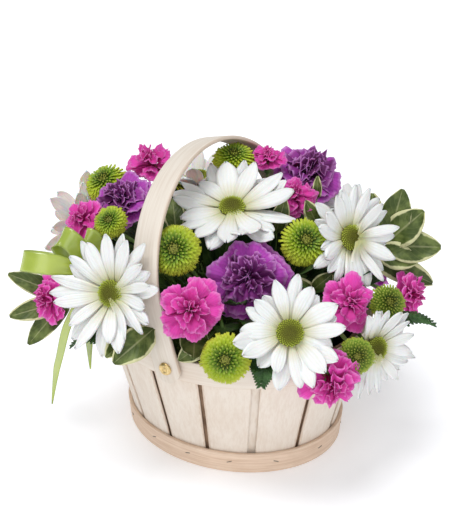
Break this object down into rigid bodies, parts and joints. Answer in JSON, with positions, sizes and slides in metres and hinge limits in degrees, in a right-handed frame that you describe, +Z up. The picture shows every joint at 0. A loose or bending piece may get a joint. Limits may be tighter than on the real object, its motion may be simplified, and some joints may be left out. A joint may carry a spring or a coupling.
{
  "type": "flower basket arrangement",
  "caption": "Oval whitewashed stave basket with a bent wood handle, holding a mound of white daisies, purple and magenta carnations, lime button blooms, variegated leaves, fern and a satin bow.",
  "frame": {"origin": "centre of the basket's underside, on the surface that it stands on", "axes": "+Z up; X along the basket's long axis; the handle crosses from -Y to +Y and leans towards -X; the front of the arrangement looks towards -Y and +X"},
  "size_m": [0.2812, 0.2538, 0.2132],
  "materials": {
    "painted_wood": "whitewashed chipwood with faint upright grain",
    "bare_wood": "bare tan chipwood, matt",
    "brass": "stamped brass rivet, worn",
    "liner_film": "dark green waterproof liner",
    "wet_foam": "soaked floral foam under moss",
    "green_wire": "green lacquered wire",
    "satin_ribbon": "lime green double faced satin",
    "daisy_petal": "white ray petals, fine grooves, cream at the base",
    "daisy_green": "olive yellow disc on a green stem",
    "carnation_purple": "purple ruffled petals with lilac edges",
    "carnation_magenta": "magenta ruffled petals with crimson folds",
    "button_green": "lime green quilled florets",
    "leaf_variegated": "dark green leaf with cream margin, satin",
    "fern_green": "deep green serrated leaflets"
  },
  "bodies": {
    "root": {"base_board": "bare_wood", "base_hoop": "bare_wood", "bow_pick": "green_wire", "button_pom_rim": "button_green", "button_poms_back": "button_green", "button_poms_handle": "button_green", "button_poms_right": "button_green", "carnation_back": "carnation_purple", "carnation_front": "carnation_purple", "carnation_left": "carnation_purple", "carnation_top": "carnation_purple", "daisy_back_petals": "daisy_petal", "daisy_behind_handle_petals": "daisy_petal", "daisy_far_left_petals": "daisy_petal", "daisy_far_right_petals": "daisy_petal", "daisy_front_petals": "daisy_petal", "daisy_left_petals": "daisy_petal", "daisy_low_right_petals": "daisy_petal", "daisy_right_petals": "daisy_petal", "daisy_spray_back": "daisy_green", "daisy_spray_front": "daisy_green", "daisy_spray_left": "daisy_green", "daisy_spray_right": "daisy_green", "daisy_stem_top": "daisy_green", "daisy_top_petals": "daisy_petal", "fern_front": "fern_green", "fern_left": "fern_green", "fern_right": "fern_green", "foam": "wet_foam", "handle": "painted_wood", "inner_wall": "painted_wood", "liner": "liner_film", "mini_carnation_handle": "carnation_magenta", "mini_carnation_rim": "carnation_magenta", "mini_carnations_back": "carnation_magenta", "mini_carnations_left": "carnation_magenta", "mini_carnations_right": "carnation_magenta", "mini_carnations_top": "carnation_magenta", "pittosporum_back": "leaf_variegated", "pittosporum_front": "leaf_variegated", "pittosporum_left": "leaf_variegated", "pittosporum_right": "leaf_variegated", "ribbon_bow": "satin_ribbon", "rim_hoop": "painted_wood", "rivet_far": "brass", "rivet_near": "brass", "stave_01": "painted_wood", "stave_02": "painted_wood", "stave_03": "painted_wood", "stave_04": "painted_wood", "stave_05": "painted_wood", "stave_06": "painted_wood", "stave_07": "painted_wood", "stave_08": "painted_wood", "stave_09": "painted_wood", "stave_10": "painted_wood", "stave_11": "painted_wood", "stave_12": "painted_wood", "stave_13": "painted_wood", "stave_14": "painted_wood"}
  },
  "joints": []
}
